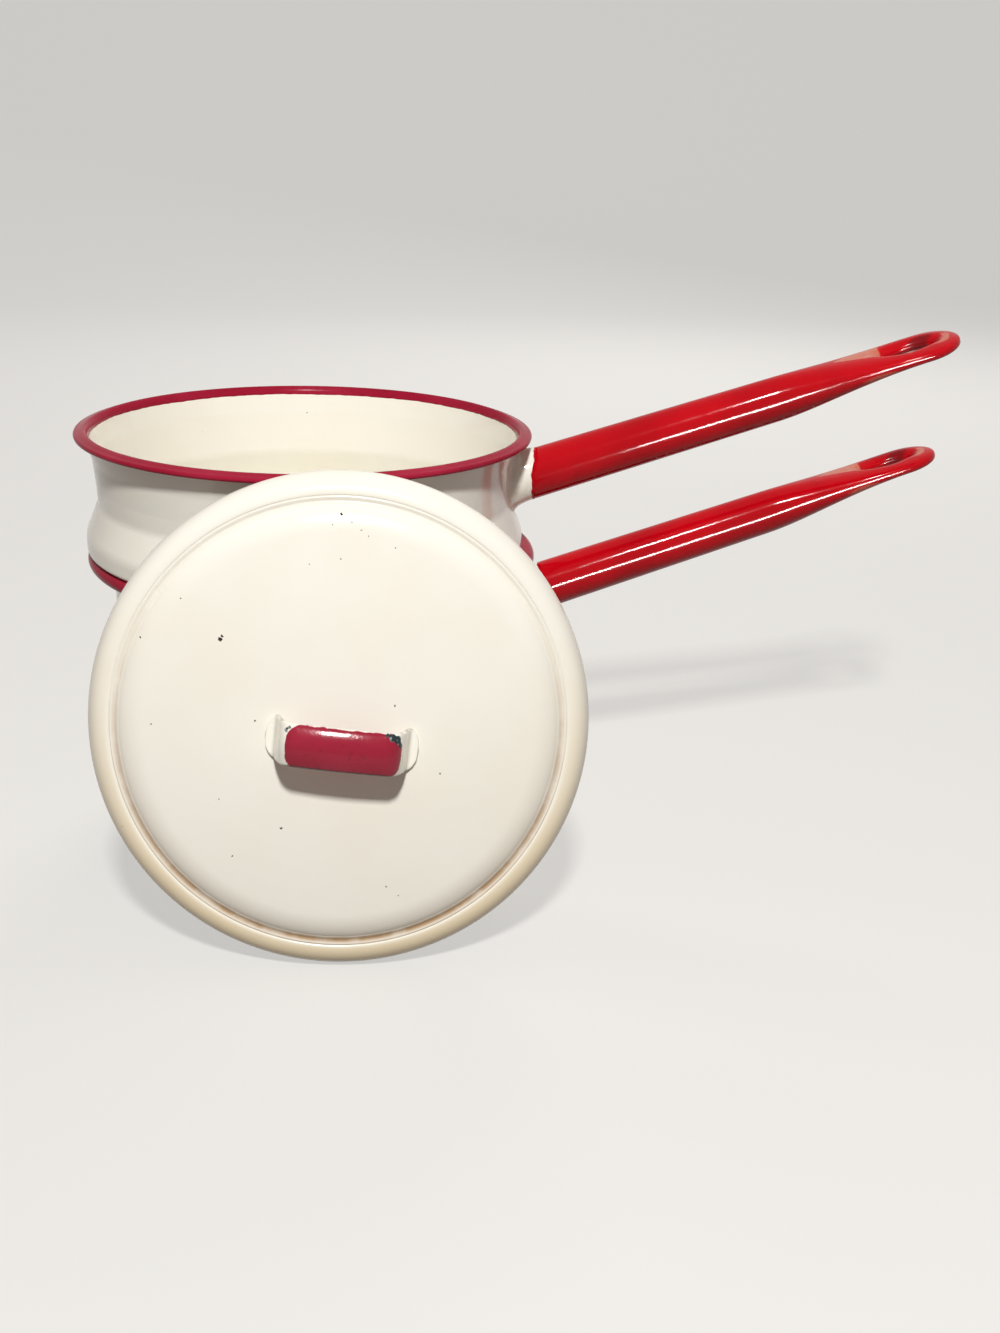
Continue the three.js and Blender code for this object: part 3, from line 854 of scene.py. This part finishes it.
strap_points, strap_own = strap_grid()
strap = knit("lid_strap", [strap_points], STRAP_PLACE, [strap_own])
fired_enamel(strap, "crimson_strap", strap_paint, gloss=0.15, sheen=0.28, peel=0.05, grit=0.02)
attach(strap, "lid")
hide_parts("lid_handle")


# Floor and backdrop

# A plain pale sweep: flat under the object, curving up far behind it, and the same pale tone in every
# direction where the sweep ends.

PALE = (232, 230, 226)
SHOWN_PALE = (238, 237, 234)
BOUNCED_PALE = (118, 116, 113)
FLOOR_HALF = 3200.0
SWEEP_START = 1600.0
SWEEP_RADIUS = 900.0
FLOOR_DROP = 0.05
GLOW_SHARE = 0.62


def sweep_grid():
    """A flat floor carried along Y, then a quarter circle up, then a straight wall, the same at every X."""
    bend = np.radians(np.linspace(0, 90, 25))
    along = SWEEP_START + SWEEP_RADIUS * np.sin(bend)
    along = np.concatenate([[-FLOOR_HALF], along, [SWEEP_START + SWEEP_RADIUS]])
    up = np.concatenate([[0], SWEEP_RADIUS * (1 - np.cos(bend)), [FLOOR_HALF]])
    across = np.linspace(-FLOOR_HALF, FLOOR_HALF, 9)[:, None]
    return np.stack([across + 0 * along, along + 0 * across, up + 0 * across], -1) - [0, 0, FLOOR_DROP]


floor = knit("floor", [sweep_grid()])
floor_finish = bpy.data.materials.new("pale_sweep")
floor_finish.use_nodes = True
floor_shader = floor_finish.node_tree.nodes["Principled BSDF"]
floor_shader.inputs["Roughness"].default_value = 0.9
paper = Wire(floor_finish.node_tree)
seen = paper.node("ShaderNodeLightPath", {}, {}, "Is Camera Ray")
seen = seen.most(paper.node("ShaderNodeLightPath", {}, {}, "Is Glossy Ray"))
seen = seen.most(paper.node("ShaderNodeLightPath", {}, {}, "Is Transmission Ray"))
face = seen.mix(colour(BOUNCED_PALE), colour(PALE))
floor_finish.node_tree.links.new(face.socket, floor_shader.inputs["Base Color"])
glow = paper.node("ShaderNodeEmission", {}, {"Color": colour(SHOWN_PALE)})
lit = Wire(floor_finish.node_tree, floor_shader.outputs[0])
shown = paper.node("ShaderNodeMixShader", {}, {0: seen * GLOW_SHARE, 1: lit, 2: glow})
floor_finish.node_tree.links.new(shown.socket, floor_finish.node_tree.nodes["Material Output"].inputs[0])
floor.data.materials.append(floor_finish)


# Light

# Studio light: a pale room all round, a small key from in front and above, a wide soft light from behind, and
# a low strip whose reflection runs as a streak along the glossy tubes.

ROOM_STRENGTH = 0.19
ROOM_SHOWN = 0.66
ROOM_SHADE = (255, 232, 222)
ROOM_PALE = (255, 252, 248)

world = bpy.data.worlds.new("pale_room")
bpy.context.scene.world = world
world.use_nodes = True
room = Wire(world.node_tree)
faced = room.node("ShaderNodeLightPath", {}, {}, "Is Camera Ray")
faced = faced.most(room.node("ShaderNodeLightPath", {}, {}, "Is Glossy Ray"))
strength = faced * (ROOM_SHOWN - ROOM_STRENGTH) + ROOM_STRENGTH
background = world.node_tree.nodes["Background"]
tinted = faced.mix(colour(ROOM_SHADE), colour(ROOM_PALE))
world.node_tree.links.new(tinted.socket, background.inputs["Color"])
world.node_tree.links.new(strength.socket, background.inputs["Strength"])


def soft_light(name, at, aim, size, power, tint, lights=True, shines=True):
    """Rectangular lamp at a point, facing another point. It lights surfaces, shows in gloss, or both."""
    lamp = bpy.data.lights.new(name, "AREA")
    lamp.shape = "RECTANGLE"
    lamp.size, lamp.size_y = size
    lamp.energy = power
    lamp.color = tint
    stand = bpy.data.objects.new(name, lamp)
    bpy.context.scene.collection.objects.link(stand)
    away = np.array(at) - np.array(aim)
    back = away / np.linalg.norm(away)
    right = np.cross((0, 0, 1), back)
    right /= np.linalg.norm(right)
    turn = Matrix(np.stack([right, np.cross(back, right), back], 1).tolist()).to_4x4()
    stand.matrix_world = Matrix.Translation(at) @ turn
    stand.visible_camera = False
    stand.visible_diffuse = lights
    stand.visible_glossy = shines
    return stand


soft_light(
    "key", at=(0.0, -0.86, 0.98), aim=(0.02, -0.05, 0.10), size=(0.10, 0.10), power=12.5,
    tint=(1.0, 0.995, 0.972),
)
soft_light(
    "back", at=(0.45, 1.3, 1.0), aim=(0.0, 0.0, 0.10), size=(0.7, 0.7), power=12.0,
    tint=(1.0, 0.985, 0.96), shines=False,
)
streak = soft_light(
    "streak", at=(0.29, -0.64, 0.045), aim=(0.22, -0.02, 0.17), size=(0.30, 0.07), power=13.0,
    tint=(1.0, 0.97, 0.94), lights=False,
)

tubes = bpy.data.collections.new("tubes")
tubes.objects.link(pot_tube)
tubes.objects.link(pan_tube)
streak.light_linking.receiver_collection = tubes


# Camera

# Stands in front of the lid, a little above the rims, looking down on the open pan and slightly rolled.

CAMERA_AT = (0.019369, -0.600858, 0.289380)
LOOK_LEFT = math.radians(-5.6)
LOOK_DOWN = math.radians(20.504)
ROLL = math.radians(1.8205)
LENS = 40.51
SENSOR = 36.0
NEAREST = 0.01

camera_data = bpy.data.cameras.new("camera")
camera_data.sensor_fit = "VERTICAL"
camera_data.sensor_height = SENSOR
camera_data.lens = LENS
camera_data.clip_start = NEAREST
camera = bpy.data.objects.new("camera", camera_data)
bpy.context.scene.collection.objects.link(camera)
camera.matrix_world = (
    Matrix.Translation(CAMERA_AT)
    @ Matrix.Rotation(LOOK_LEFT, 4, "Z")
    @ Matrix.Rotation(math.pi / 2 - LOOK_DOWN, 4, "X")
    @ Matrix.Rotation(ROLL, 4, "Z")
)
bpy.context.scene.camera = camera
bpy.context.scene.view_settings.view_transform = "Standard"
